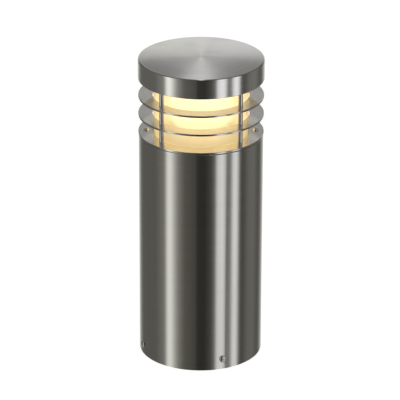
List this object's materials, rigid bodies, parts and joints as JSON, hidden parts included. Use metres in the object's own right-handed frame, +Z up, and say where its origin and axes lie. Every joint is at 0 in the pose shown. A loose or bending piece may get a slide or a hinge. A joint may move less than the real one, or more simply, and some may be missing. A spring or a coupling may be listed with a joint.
{
  "type": "bollard light",
  "caption": "Low round bollard light: brushed stainless post, open louvred head with an opal diffuser under a shallow drum cap.",
  "frame": {"origin": "centre of the underside, on the ground", "axes": "+Z up along the post, -Y towards the side that the picture shows, +X to its right"},
  "size_m": [0.1204, 0.1204, 0.302],
  "materials": {
    "cast_base": "grey die-cast, fine sand texture",
    "black_rubber": "matt black rubber",
    "brushed_post": "stainless steel brushed around the post",
    "turned_cap": "stainless steel, turned top and brushed wall",
    "louvre_steel": "stainless steel discs with turned faces",
    "spacer_steel": "drawn stainless tube",
    "inner_steel": "plain stainless steel, unpolished",
    "bright_screws": "bright stainless fasteners",
    "zinc_plate": "zinc-plated sheet",
    "zinc_screws": "zinc-plated fasteners",
    "white_ceramic": "glazed porcelain",
    "nickel_shell": "nickel-plated thin sheet",
    "brass_parts": "plain brass",
    "tinned_copper": "tin-plated copper",
    "grey_nylon": "natural polyamide",
    "brown_lead": "heat-resistant sleeve, brown",
    "blue_lead": "heat-resistant sleeve, blue",
    "green_lead": "green and yellow sleeve",
    "white_enamel": "white stoved enamel",
    "opal_diffuser": "opal acrylic, lit from inside",
    "silicone_seal": "translucent silicone",
    "opal_globe": "opal polycarbonate, lit",
    "lamp_plastic": "white moulded housing",
    "white_board": "white aluminium-core board",
    "black_insulator": "black moulded insulator"
  },
  "bodies": {
    "post": {"base_flange": "cast_base", "base_gasket": "black_rubber", "cable_grommet": "black_rubber", "post_tube": "brushed_post", "tube_screws": "bright_screws", "head_gasket": "black_rubber", "head_lugs": "inner_steel", "lamp_strap": "zinc_plate", "strap_screws": "zinc_screws", "lampholder_body": "white_ceramic", "lampholder_sleeve": "nickel_shell", "lampholder_contact": "brass_parts", "lampholder_screws": "zinc_screws", "terminal_bracket": "zinc_plate", "bracket_screws": "zinc_screws", "terminal_block": "grey_nylon", "block_screws": "zinc_screws", "terminal_clamps": "brass_parts", "terminal_screws": "zinc_screws", "earth_stud": "brass_parts", "earth_nuts": "brass_parts", "earth_ring": "tinned_copper", "lead_live": "brown_lead", "lead_neutral": "blue_lead", "lead_earth": "green_lead"},
    "head": {"cap": "turned_cap", "cap_bosses": "inner_steel", "tie_studs": "inner_steel", "reflector_plate": "white_enamel", "louvre_upper": "louvre_steel", "louvre_lower": "louvre_steel", "collar_plate": "louvre_steel", "spacers_upper": "spacer_steel", "spacers_middle": "spacer_steel", "spacers_lower": "spacer_steel", "diffuser": "opal_diffuser", "diffuser_seal_upper": "silicone_seal", "diffuser_seal_lower": "silicone_seal", "retainer_ring": "inner_steel", "stud_washers": "bright_screws", "stud_nuts": "bright_screws", "head_screws": "bright_screws"},
    "lamp_rise": {"lamp_contact": "nickel_shell", "lamp_insulator": "black_insulator"},
    "lamp_turn": {"lamp_cap": "nickel_shell", "lamp_housing": "lamp_plastic", "led_board": "white_board", "lamp_globe": "opal_globe"}
  },
  "joints": [
    {"name": "head_lift", "type": "slide", "parent": "post", "child": "head", "axis": [0, 0, 1], "range_m": [0, 0.1]},
    {"name": "lamp_rise", "type": "slide", "parent": "post", "child": "lamp_rise", "axis": [0, 0, 1], "range_m": [0, 0.00907]},
    {"name": "lamp_turn", "type": "hinge", "parent": "lamp_rise", "child": "lamp_turn", "pos_m": [0, 0, 0.2], "axis": [0, 0, 1], "range_deg": [0, 900]}
  ],
  "couplings": [
    {"joint": "lamp_rise", "follows": "lamp_turn", "m_per_rad": 0.00057757}
  ]
}
